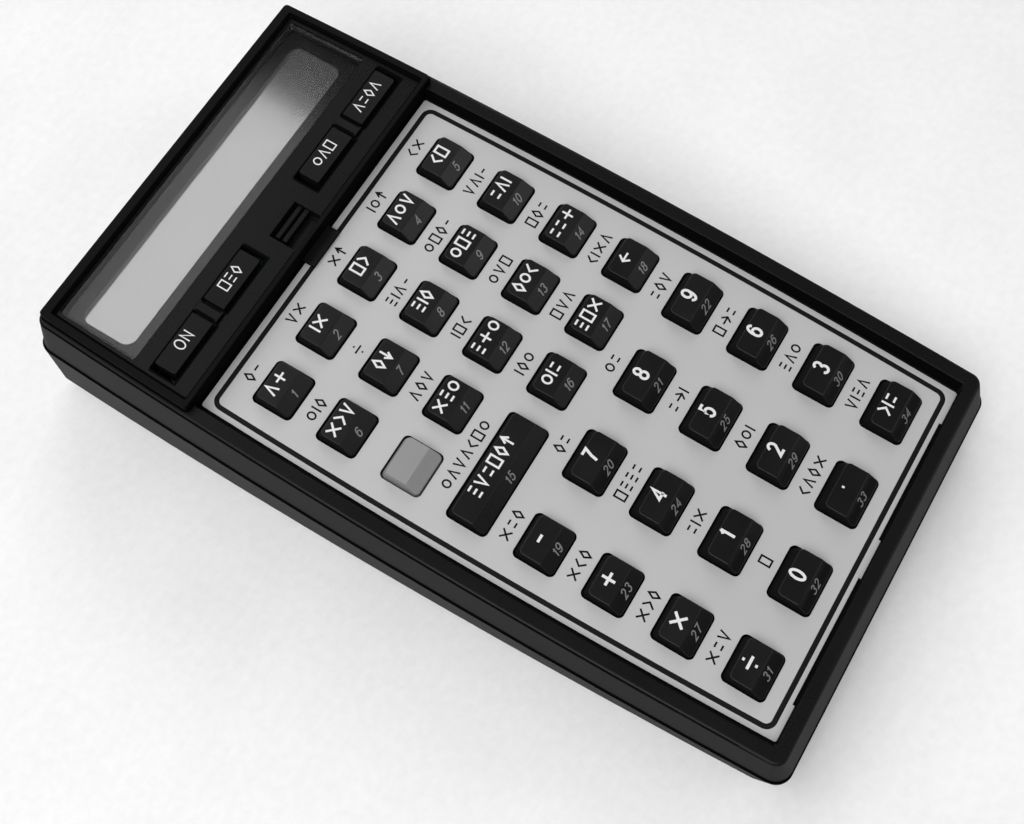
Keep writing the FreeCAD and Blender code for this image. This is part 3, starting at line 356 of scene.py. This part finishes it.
def keyMesh(name, size):
    width, depth, corner = size["width"], size["depth"], keyShared["corner"]
    frontRise, edge, steps = keyShared["frontRise"], keyShared["edge"], keyShared["edgeSteps"]
    stations = [creaseY(size) + keyShared["crease"] * share for share in (-1, -0.6, -0.2, 0.2, 0.6, 1)]

    def topRing(inset, drop):
        foot = halfOutline(width - 2 * inset, depth - 2 * inset, 0, corner - inset, stations)
        head = halfOutline(width - 2 * (size["sideInset"] + inset), depth - size["rearInset"] - 2 * inset,
                           -size["rearInset"] / 2, corner - inset, stations)
        points = []
        for (footX, footY), (headX, headY) in zip(foot, head):
            share = 1.0
            for _ in range(6):  # settles on where the sloping wall meets the top
                y = footY + (headY - footY) * share
                share = (keyTopZ(size, y) - frontRise) / (size["rise"] - frontRise)
            x = footX + (headX - footX) * share
            y = footY + (headY - footY) * share
            points.append((x, y, keyTopZ(size, y) - drop))
        return points

    rings = []
    for step in range(steps + 1):  # rounded edge round the top
        turn = math.pi / 2 * step / steps
        rings.append(topRing(edge * (1 - math.sin(turn)), edge * (1 - math.cos(turn))))
    waist = halfOutline(width, depth, 0, corner, stations)
    reach = 2 * keyShared["flangeReach"]
    flange = halfOutline(width + reach, depth + reach, 0, corner, stations)
    stem = []
    for i in range(len(waist)):
        turn = math.pi * (i + 0.5) / len(waist) - math.pi / 2
        stem.append((keyShared["stemRadius"] * math.cos(turn), keyShared["stemRadius"] * math.sin(turn)))
    for outline, levels in ((waist, ("waist", "flangeTop")), (flange, ("flangeTop", "flangeUnder")),
                            (stem, ("flangeUnder", "stemUnder"))):
        for level in levels:
            rings.append([(x, y, keyShared[level]) for x, y in outline])
    return skinRings(name, rings, steps)


def keyTable():
    left, pitch = grid["columnZeroX"], grid["pitch"]
    table = []
    for row in range(3):
        for column in range(5):
            name = "key_plain" if (row, column) == (2, 0) else f"key_row{row + 1}_{column + 1}"
            table.append((name, left + column * pitch, row, "small"))
    table.append(("key_wide", left + pitch / 2, 3, "wide"))
    for column in range(2, 5):
        table.append((f"key_row4_{column + 1}", left + column * pitch, 3, "small"))
    lowerRows = (("minus", "digit_7", "digit_8", "digit_9"), ("plus", "digit_4", "digit_5", "digit_6"),
                 ("times", "digit_1", "digit_2", "digit_3"), ("divide", "digit_0", "decimal_point", "row8_4"))
    for row, (operator, *labels) in enumerate(lowerRows, 4):
        table.append((f"key_{operator}", left, row, "small"))
        for column, label in enumerate(labels):
            table.append((f"key_{label}", grid["digitX"] + column * grid["digitStep"], row, "digit"))
    return table


keys = {}
for name, x, row, sizeName in keyTable():
    size = keySizes[sizeName]
    y = grid["rowZeroY"] - row * grid["pitch"]
    mesh = keyMesh(name + "_cap", size)
    mesh.transform(Matrix.Translation((x, y, 0)))
    plain = name == "key_plain"
    # The walls of the keys take the darker side finish, which paints shade on them.
    layers = ["greyKeyPlastic", "greyKeyPlastic"] if plain else ["keyPlastic", "keySidePlastic"]
    evenShading(addPiece(name + "_cap", mesh, layers, name, [name]))
    keys[name] = (x, y, size)
print("keys made,", len(keys))


# Marks are strokes drawn in a box one high, then set to a height in millimetres. Their ink is sunk a
# little into the face, and strokes that cross are staggered so that no two tops lie at one level.
ink = {"thick": 0.02, "sunk": 0.01, "stagger": 0.002, "mitreLimit": 0.4}


def arc(x, y, rx, ry, start, end, steps=14):
    turns = [math.radians(start + (end - start) * step / steps) for step in range(steps + 1)]
    return [(x + rx * math.cos(turn), y + ry * math.sin(turn)) for turn in turns]


signs = {  # width, then strokes: each a list of points, closed when it ends where it starts
    "0": (0.56, [arc(0.5, 0.5, 0.5, 0.5, 0, 360, 28)]),
    "1": (0.36, [[(0.0, 0.76), (0.45, 0.82), (0.8, 1.0)], [(0.8, 1.0), (0.8, 0.0)]]),
    "2": (0.56, [arc(0.5, 0.71, 0.48, 0.29, 170, -25) + [(0.04, 0.0), (1.0, 0.0)]]),
    "3": (0.56, [arc(0.48, 0.755, 0.44, 0.245, 160, -80), arc(0.48, 0.265, 0.5, 0.265, 85, -165)]),
    "4": (0.60, [[(0.78, 0.0), (0.78, 1.0), (0.02, 0.3), (1.04, 0.3)]]),
    "5": (0.56, [[(0.94, 1.0), (0.2, 1.0), (0.1, 0.5)] + arc(0.48, 0.33, 0.5, 0.33, 140, -160)]),
    "6": (0.56, [arc(0.5, 0.32, 0.5, 0.32, 0, 360, 24), arc(0.54, 0.5, 0.54, 0.5, 40, 180) + [(0.0, 0.34)]]),
    "7": (0.56, [[(0.0, 1.0), (1.0, 1.0), (0.55, 0.45), (0.38, 0.0)]]),
    "8": (0.56, [arc(0.5, 0.755, 0.42, 0.245, 0, 360, 24), arc(0.5, 0.265, 0.5, 0.265, 0, 360, 24)]),
    "9": (0.56, [arc(0.5, 0.68, 0.5, 0.32, 0, 360, 24), arc(0.46, 0.5, 0.54, 0.5, 220, 360) + [(1.0, 0.66)]]),
    "O": (0.72, [arc(0.5, 0.5, 0.5, 0.5, 0, 360, 28)]),
    "N": (0.62, [[(0.0, 0.0), (0.0, 1.0), (1.0, 0.0), (1.0, 1.0)]]),
    "plus": (0.92, [[(0.0, 0.5), (1.0, 0.5)], [(0.5, 0.04), (0.5, 0.96)]]),
    "minus": (0.62, [[(0.0, 0.5), (1.0, 0.5)]]),
    "times": (0.82, [[(0.0, 0.08), (1.0, 0.92)], [(0.0, 0.92), (1.0, 0.08)]]),
    "divide": (0.90, [[(0.0, 0.5), (1.0, 0.5)], [(0.5, 0.86), (0.5, 1.02)], [(0.5, -0.02), (0.5, 0.14)]]),
    "dot": (0.10, [[(0.5, 0.4), (0.5, 0.6)]]),
    "bar": (0.55, [[(0.0, 0.5), (1.0, 0.5)]]),
    "bars": (0.55, [[(0.0, 0.2), (1.0, 0.2)], [(0.0, 0.8), (1.0, 0.8)]]),
    "stack": (0.55, [[(0.0, 0.04), (1.0, 0.04)], [(0.0, 0.5), (1.0, 0.5)], [(0.0, 0.96), (1.0, 0.96)]]),
    "up": (0.60, [[(0.5, 0.0), (0.5, 1.0)], [(0.0, 0.55), (0.5, 1.04), (1.0, 0.55)]]),
    "down": (0.60, [[(0.5, 0.0), (0.5, 1.0)], [(0.0, 0.45), (0.5, -0.04), (1.0, 0.45)]]),
    "left": (0.80, [[(0.0, 0.5), (1.0, 0.5)], [(0.42, 0.95), (-0.04, 0.5), (0.42, 0.05)]]),
    "right": (0.80, [[(0.0, 0.5), (1.0, 0.5)], [(0.58, 0.95), (1.04, 0.5), (0.58, 0.05)]]),
    "box": (0.66, [[(0.0, 0.0), (1.0, 0.0), (1.0, 1.0), (0.0, 1.0), (0.0, 0.0)]]),
    "ring": (0.66, [arc(0.5, 0.5, 0.5, 0.36, 0, 360, 24)]),
    "peak": (0.66, [[(0.0, 0.0), (0.5, 0.96), (1.0, 0.0)]]),
    "dip": (0.66, [[(0.0, 1.0), (0.5, 0.04), (1.0, 1.0)]]),
    "gem": (0.60, [[(0.5, 0.0), (1.0, 0.5), (0.5, 1.0), (0.0, 0.5), (0.5, 0.0)]]),
    "less": (0.50, [[(1.0, 1.0), (0.0, 0.5), (1.0, 0.0)]]),
    "more": (0.50, [[(0.0, 1.0), (1.0, 0.5), (0.0, 0.0)]]),
    "post": (0.10, [[(0.5, 0.0), (0.5, 1.0)]]),
}


# One stroke of even width as a thin closed slab, its corners mitred
def addStroke(shape, points, width, z=0.0, thick=ink["thick"]):
    closed = math.dist(points[0], points[-1]) < 1e-6
    if closed:
        points = points[:-1]
    count = len(points)
    low = z - ink["sunk"]
    rows = []
    for i, (x, y) in enumerate(points):
        before = points[i - 1] if closed or i > 0 else None
        after = points[(i + 1) % count] if closed or i < count - 1 else None
        headings = []
        for start, end in ((before, (x, y)), ((x, y), after)):
            if start and end:
                headings.append((Vector(end) - Vector(start)).normalized())
        along = sum(headings, Vector((0, 0))).normalized()
        reach = width / 2 / max(ink["mitreLimit"], along.dot(headings[0]))
        across = Vector((-along.y, along.x)) * reach
        rows.append([])
        for side, level in ((1, low + thick), (-1, low + thick), (-1, low), (1, low)):
            rows[-1].append(shape.verts.new((x + side * across.x, y + side * across.y, level)))
    for i in range(count if closed else count - 1):
        one, two = rows[i], rows[(i + 1) % count]
        for k in range(4):
            m = (k + 1) % 4
            shape.faces.new((one[k], one[m], two[m], two[k]))
    if not closed:
        shape.faces.new(rows[0])
        shape.faces.new(rows[-1][::-1])


# A row of signs centred on (0, 0)
def addSigns(shape, names, style):
    height = style["height"]
    line = height * style["weight"]
    widths = [signs[name][0] * height for name in names]
    x = -(sum(widths) + style["gap"] * (len(names) - 1)) / 2
    for name, width in zip(names, widths):
        for index, stroke in enumerate(signs[name][1]):
            points = []
            for u, v in stroke:
                y = (v - 0.5) * (height - line)
                points.append((x + line / 2 + u * (width - line) + style.get("slant", 0) * y, y))
            addStroke(shape, points, line, -index * ink["stagger"])
        x += width + style["gap"]


# x and y of a style are how far its signs stand from the middle of a key, or of its front slope
topMarks = {"height": 2.6, "weight": 0.14, "gap": 0.4, "y": 1.2}
digitMarks = {"height": 3.0, "weight": 0.155, "gap": 0.5, "y": 1.0}
frontMarks = {"height": 1.75, "weight": 0.13, "gap": 0.22, "slant": 0.2, "x": 0.1, "y": 0.1}
topSigns = {
    "key_row1_1": "peak plus", "key_row1_2": "post times", "key_row1_3": "box more",
    "key_row1_4": "peak ring dip", "key_row1_5": "less box", "key_row2_1": "times more dip",
    "key_row2_2": "gem down", "key_row2_3": "stack post gem", "key_row2_4": "ring box stack",
    "key_row2_5": "bars peak post", "key_row3_2": "times stack ring", "key_row3_3": "stack plus ring",
    "key_row3_4": "gem ring less", "key_row3_5": "bars bars plus",
    "key_wide": "stack dip bars box gem up", "key_row4_3": "ring post bars",
    "key_row4_4": "stack box times", "key_row4_5": "left", "key_minus": "minus", "key_plus": "plus",
    "key_times": "times", "key_divide": "divide", "key_decimal_point": "dot",
    "key_row8_4": "more post bars",
}
for digit in "0123456789":
    topSigns[f"key_digit_{digit}"] = digit

signedKeys = [name for name in keys if name != "key_plain"]
for number, name in enumerate(signedKeys, 1):
    x, y, size = keys[name]
    style = digitMarks if "digit" in name or name[4:] in signs else topMarks
    shape = bmesh.new()
    addSigns(shape, topSigns[name].split(), style)
    addShape(name + "_sign", shape, "whiteInk", name,
             Matrix.Translation((x, y + style["y"], size["rise"])))
    middleY = (creaseY(size) - size["depth"] / 2) / 2 + frontMarks["y"]
    shape = bmesh.new()
    addSigns(shape, str(number), frontMarks)
    addShape(name + "_number", shape, "greyInk", name,
             Matrix.Translation((x + frontMarks["x"], y + middleY, keyTopZ(size, middleY)))
             @ Matrix.Rotation(math.atan(frontSlope(size)), 4, "X"))
print("key signs made")


# Closed line that runs inside the bowed sides, from a front to a rear edge
def bowedLoop(half, frontY, rearY, corner, shift=0.0, sideSteps=24, cornerSteps=8):
    sideLength = rearY - frontY - 2 * corner
    stations = [frontY + corner + sideLength * step / sideSteps for step in range(1, sideSteps)]
    right = []
    for x, y in halfOutline(2 * half, rearY - frontY, (rearY + frontY) / 2, corner, stations, cornerSteps):
        right.append((x + bowedX(half, y) - half, y))
    return [(x + shift, y) for x, y in right] + [(shift - x, y) for x, y in reversed(right)]


# Printing on the plate: a border line, and signs above the keys
border = {"half": 32.98, "shift": -0.05, "frontY": -51.0, "rearY": 50.82, "corner": 1.4, "line": 0.86}
shape = bmesh.new()
loop = bowedLoop(border["half"], border["frontY"], border["rearY"], border["corner"], border["shift"])
addStroke(shape, loop + loop[:1], border["line"])
addShape("plate_border", shape, "borderInk", "case")

plateMarks = {"height": 2.25, "weight": 0.14, "gap": 0.5, "rise": 6.1}
plateSigns = {
    "key_row1_1": "gem minus", "key_row1_2": "dip times", "key_row1_3": "times up",
    "key_row1_4": "post ring up", "key_row1_5": "less times", "key_row2_1": "ring post gem",
    "key_row2_2": "divide", "key_row2_3": "stack post peak bar", "key_row2_4": "ring box gem bar",
    "key_row2_5": "dip peak post bar", "key_row3_2": "peak gem dip", "key_row3_3": "post box less",
    "key_row3_4": "ring dip box", "key_row3_5": "box gem bars",
    "key_wide": "ring peak dip peak less box ring", "key_row4_3": "post gem ring",
    "key_row4_4": "box dip peak", "key_row4_5": "less post times peak", "key_minus": "times bars gem",
    "key_digit_7": "gem bars", "key_digit_8": "ring bars", "key_digit_9": "bars gem dip",
    "key_plus": "times less gem", "key_digit_4": "box stack stack bars", "key_digit_5": "bars right post",
    "key_digit_6": "box right bars", "key_times": "times more gem", "key_digit_1": "bars post times",
    "key_digit_2": "gem ring post", "key_digit_3": "stack peak ring", "key_divide": "times bars dip",
    "key_digit_0": "box", "key_decimal_point": "less peak gem times", "key_row8_4": "dip post stack peak",
}
shape = bmesh.new()
for name, labels in plateSigns.items():
    x, y, size = keys[name]
    start = len(shape.verts)
    addSigns(shape, labels.split(), plateMarks)
    shape.verts.ensure_lookup_table()
    for vertex in shape.verts[start:]:
        vertex.co += Vector((x, y + plateMarks["rise"], 0))
addShape("plate_print", shape, "darkInk", "case")
print("plate print made")

# Words and signs on the rockers
rockerMarks = {"height": 2.2, "weight": 0.105, "gap": 0.4, "y": 60.0, "z": 3.55}
rockerSigns = [("rocker_left", -27.0, "O N"), ("rocker_left", -13.8, "box stack gem"),
               ("rocker_right", 13.9, "ring peak box"), ("rocker_right", 27.3, "peak bars gem peak")]
for index, (rocker, x, labels) in enumerate(rockerSigns):
    shape = bmesh.new()
    addSigns(shape, labels.split(), rockerMarks)
    addShape(f"{rocker}_sign_{index}", shape, "whiteInk", rocker,
             Matrix.Translation((x, rockerMarks["y"], rockerMarks["z"])))
print("rocker signs made")

# Thin dark strip of painted shade on the display panel, along the foot of the band round it, open at the
# middle recess
joint = {"half": 35.48, "frontY": 53.77, "rearY": 80.82, "corner": 0.5, "line": 0.54, "thick": 0.03,
         "recess": 4.1, "z": 2.9}
loop = bowedLoop(joint["half"], joint["frontY"], joint["rearY"], joint["corner"])
shape = bmesh.new()
addStroke(shape, [(joint["recess"], joint["frontY"])] + loop + [(-joint["recess"], joint["frontY"])],
          joint["line"], joint["z"], joint["thick"])
addShape("panel_joint_shade", shape, "paintedShade", "case")
print("panel joint made")

# Painted shade: dark strokes in the gaps round the rockers, and in place of grooves beside their ridges, both
# measured from the middle of the slot
gap = {"middleX": 20.6, "half": 13.28, "inner": 1.15, "frontY": 56.9, "rearY": 62.0, "line": 0.38, "z": 2.9}
ridge = {"half": 0.85, "frontY": 57.65, "rearY": 61.55, "line": 0.32, "z": 3.55}
for rocker, middleX in (("rocker_left", -gap["middleX"]), ("rocker_right", gap["middleX"])):
    gapShape, ridgeShape = bmesh.new(), bmesh.new()
    for side in (-1, 1):
        innerX, outerX = middleX + side * gap["inner"], middleX + side * gap["half"]
        path = [(innerX, gap["frontY"]), (outerX, gap["frontY"]), (outerX, gap["rearY"])]
        addStroke(gapShape, path, gap["line"], gap["z"])
        ridgeX = middleX + side * ridge["half"]
        path = [(ridgeX, ridge["frontY"]), (ridgeX, ridge["rearY"])]
        addStroke(ridgeShape, path, ridge["line"], ridge["z"])
    addShape(rocker + "_gap_shade", gapShape, "paintedShade", "case")
    addShape(rocker + "_groove_shade", ridgeShape, "paintedShade", rocker)
print("rocker gaps made")


# A thin dark skin of painted shade that follows the bowed outline; each ring is half width, front, rear,
# corner and height
def addBand(name, rings, slope=0.0):
    shape = bmesh.new()
    loops = []
    for half, frontY, rearY, corner, z in rings:
        outline = bowedLoop(half, frontY, rearY, corner)
        loops.append([shape.verts.new((x, y, z + slope * y)) for x, y in outline])
    count = len(loops[0])
    for low, high in zip(loops, loops[1:] + loops[:1]):
        for i in range(count):
            j = (i + 1) % count
            shape.faces.new((low[i], low[j], high[j], high[i]))
    evenShading(addShape(name, shape, "paintedShade", "case"))


# The outer edge of the rim is rounded and reads as a dark line, which a dark skin over it paints as shade in
# place of the edge's highlight. A section gives how far each run of the skin stands off the surface, and its
# turns or heights.
rim = {"half": 37.95, "frontY": -54.905, "rearY": 83.295, "corner": 1.9, "z": 2.1, "radius": 0.55,
       "sideInset": 0.478, "endInset": 0.414,
       "section": ((0.012, (30, 40, 50, 60, 70, 80)), (-0.03, (80, 55, 30)))}
rings = []
for reach, turns in rim["section"]:
    for turn in turns:
        out = (rim["radius"] + reach) * math.sin(math.radians(turn))
        up = (rim["radius"] + reach) * math.cos(math.radians(turn)) - rim["radius"]
        side, end = out - rim["sideInset"], out - rim["endInset"]
        rings.append((rim["half"] + side, rim["frontY"] - end, rim["rearY"] + end, rim["corner"] + side,
                      rim["z"] + up))
addBand("rim_edge_shade", rings)

# The walls round the keyboard lean out and are in shade
well = {"half": 34.45, "lean": 0.95, "drop": 2.9, "foot": -0.8, "frontY": -52.655, "rearY": 52.695,
        "corner": 0.15, "section": ((0.015, (0.03, 1.0, 2.0)), (-0.03, (2.0, 0.03)))}
rings = []
for reach, heights in well["section"]:
    for z in heights:
        half = well["half"] + well["lean"] * (z - well["foot"]) / well["drop"]
        rings.append((half - reach, well["frontY"] + reach, well["rearY"] - reach, well["corner"], z))
addBand("keyboard_wall_shade", rings)

# The parting groove between the two shells lies in shade: its wall, and the ledge below it
groove = {"half": 39.15, "frontY": -57.305, "rearY": 85.845, "corner": 2.65, "slope": -0.0271,
          "section": ((0.015, -5.78), (0.015, -6.445), (0.31, -6.445), (0.31, -6.475), (-0.03, -6.475),
                      (-0.03, -5.78))}
rings = []
for out, z in groove["section"]:
    rings.append((groove["half"] + out, groove["frontY"] - out, groove["rearY"] + out,
                  groove["corner"] + out, z))
addBand("groove_shade", rings, groove["slope"])

# Painted shade on the front wall of the display frame, as a thin dark sheet, and the second ridge in its
# middle recess
boxes = {
    "frame_front_shade": {"x": (-36.5, 36.5), "y": (52.675, 52.72), "z": (2.0, 3.72),
                          "finish": "paintedShade"},
    "recess_ridge": {"x": (-3.15, 3.84), "y": (57.7, 58.5), "z": (0.82, 2.3), "finish": "framePlastic"},
}
for name, box in boxes.items():
    shape = bmesh.new()
    (leftX, rightX), (frontY, rearY) = box["x"], box["y"]
    posts = []
    for x, y in ((leftX, frontY), (leftX, rearY), (rightX, rearY), (rightX, frontY)):
        posts.append([shape.verts.new((x, y, z)) for z in box["z"]])
    for one, two in zip(posts, posts[1:] + posts[:1]):
        shape.faces.new((one[0], two[0], two[1], one[1]))
    for level in (0, 1):
        shape.faces.new([post[level] for post in posts])
    addShape(name, shape, box["finish"], "case")
print("dark edges made")

# Moulded pieces whose edges catch the light get them rounded, and the sheet over the display is chamfered
roundings = {  # in millimetres
    "rocker_left": {"width": 0.16, "steps": 3},
    "rocker_right": {"width": 0.16, "steps": 3},
    "display_window": {"width": 0.15, "steps": 1},
}
edgeLimits = {"weld": 0.002, "angle": 40}
for name, rounding in roundings.items():
    weld = nodes[name].modifiers.new("weld", "WELD")
    weld.merge_threshold = edgeLimits["weld"] / 1000
    bevel = nodes[name].modifiers.new("edges", "BEVEL")
    bevel.width = rounding["width"] / 1000
    bevel.segments = rounding["steps"]
    bevel.limit_method = "ANGLE"
    bevel.angle_limit = math.radians(edgeLimits["angle"])
    bevel.use_clamp_overlap = True
    if name == "display_window":
        nodes[name].data.materials.append(made["windowEdge"])
        bevel.material = 1
print("edges rounded")

# Floor, lights and camera, in metres
floor = {"size": 6.0,
         "look": {"tone": grey(0.875), "spread": 0.05, "patch": 24, "grain": 1.8, "speckle": 0.55,
                  "depth": 0.05, "rough": (0.8, 0.9), "shine": 0.2}}
bpy.ops.mesh.primitive_plane_add(size=floor["size"])
ground = bpy.context.object
ground.name = "paper_floor"
ground.data.materials.append(makeFinish("paperFloor", floor["look"]))

lamps = {  # power in watts
    "backCard": {"place": (-0.42, 1.2, 1.2), "size": (1.9, 1.7), "power": 16, "aim": (-0.42, 1.2, 0)},
    "left": {"place": (-0.8, -0.2, 1.1), "size": (1.3, 1.0), "power": 15.2, "aim": (-0.8, -0.2, 0)},
    "rightBack": {"place": (1.3, 0.7, 1.0), "size": (1.0, 1.0), "power": 9, "aim": (0, 0, 0)},
    "rightFront": {"place": (0.75, -1.15, 0.95), "size": (0.8, 0.8), "power": 3.4, "aim": (0, 0, 0)},
}
for name, lamp in lamps.items():
    data = bpy.data.lights.new(name, "AREA")
    data.shape = "RECTANGLE"
    data.size, data.size_y = lamp["size"]
    data.energy = lamp["power"]
    light = bpy.data.objects.new(name, data)
    bpy.context.collection.objects.link(light)
    light.location = lamp["place"]
    toward = Vector(lamp["aim"]) - Vector(lamp["place"])
    light.rotation_euler = toward.to_track_quat("-Z", "Y").to_euler()
sky = {"tone": 1, "strength": 0.05}
world = bpy.data.worlds.new("studio")
world.use_nodes = True
background = world.node_tree.nodes["Background"]
background.inputs["Color"].default_value = (*grey(sky["tone"]), 1)
background.inputs["Strength"].default_value = sky["strength"]
bpy.context.scene.world = world
bpy.context.scene.view_settings.view_transform = "Standard"

camera = {"place": (-0.0729, -0.06606, 0.2186), "turn": (23.1275, 4.4713, -58.8006), "lens": 46.41,
          "sensor": 36, "clipStart": 0.01}  # turn in degrees, lens and sensor in millimetres
lens = bpy.data.cameras.new("photoView")
lens.lens = camera["lens"]
lens.sensor_width = camera["sensor"]
lens.clip_start = camera["clipStart"]
viewpoint = bpy.data.objects.new("photoView", lens)
bpy.context.collection.objects.link(viewpoint)
viewpoint.location = camera["place"]
viewpoint.rotation_euler = [math.radians(angle) for angle in camera["turn"]]
bpy.context.scene.camera = viewpoint
print("stage set")
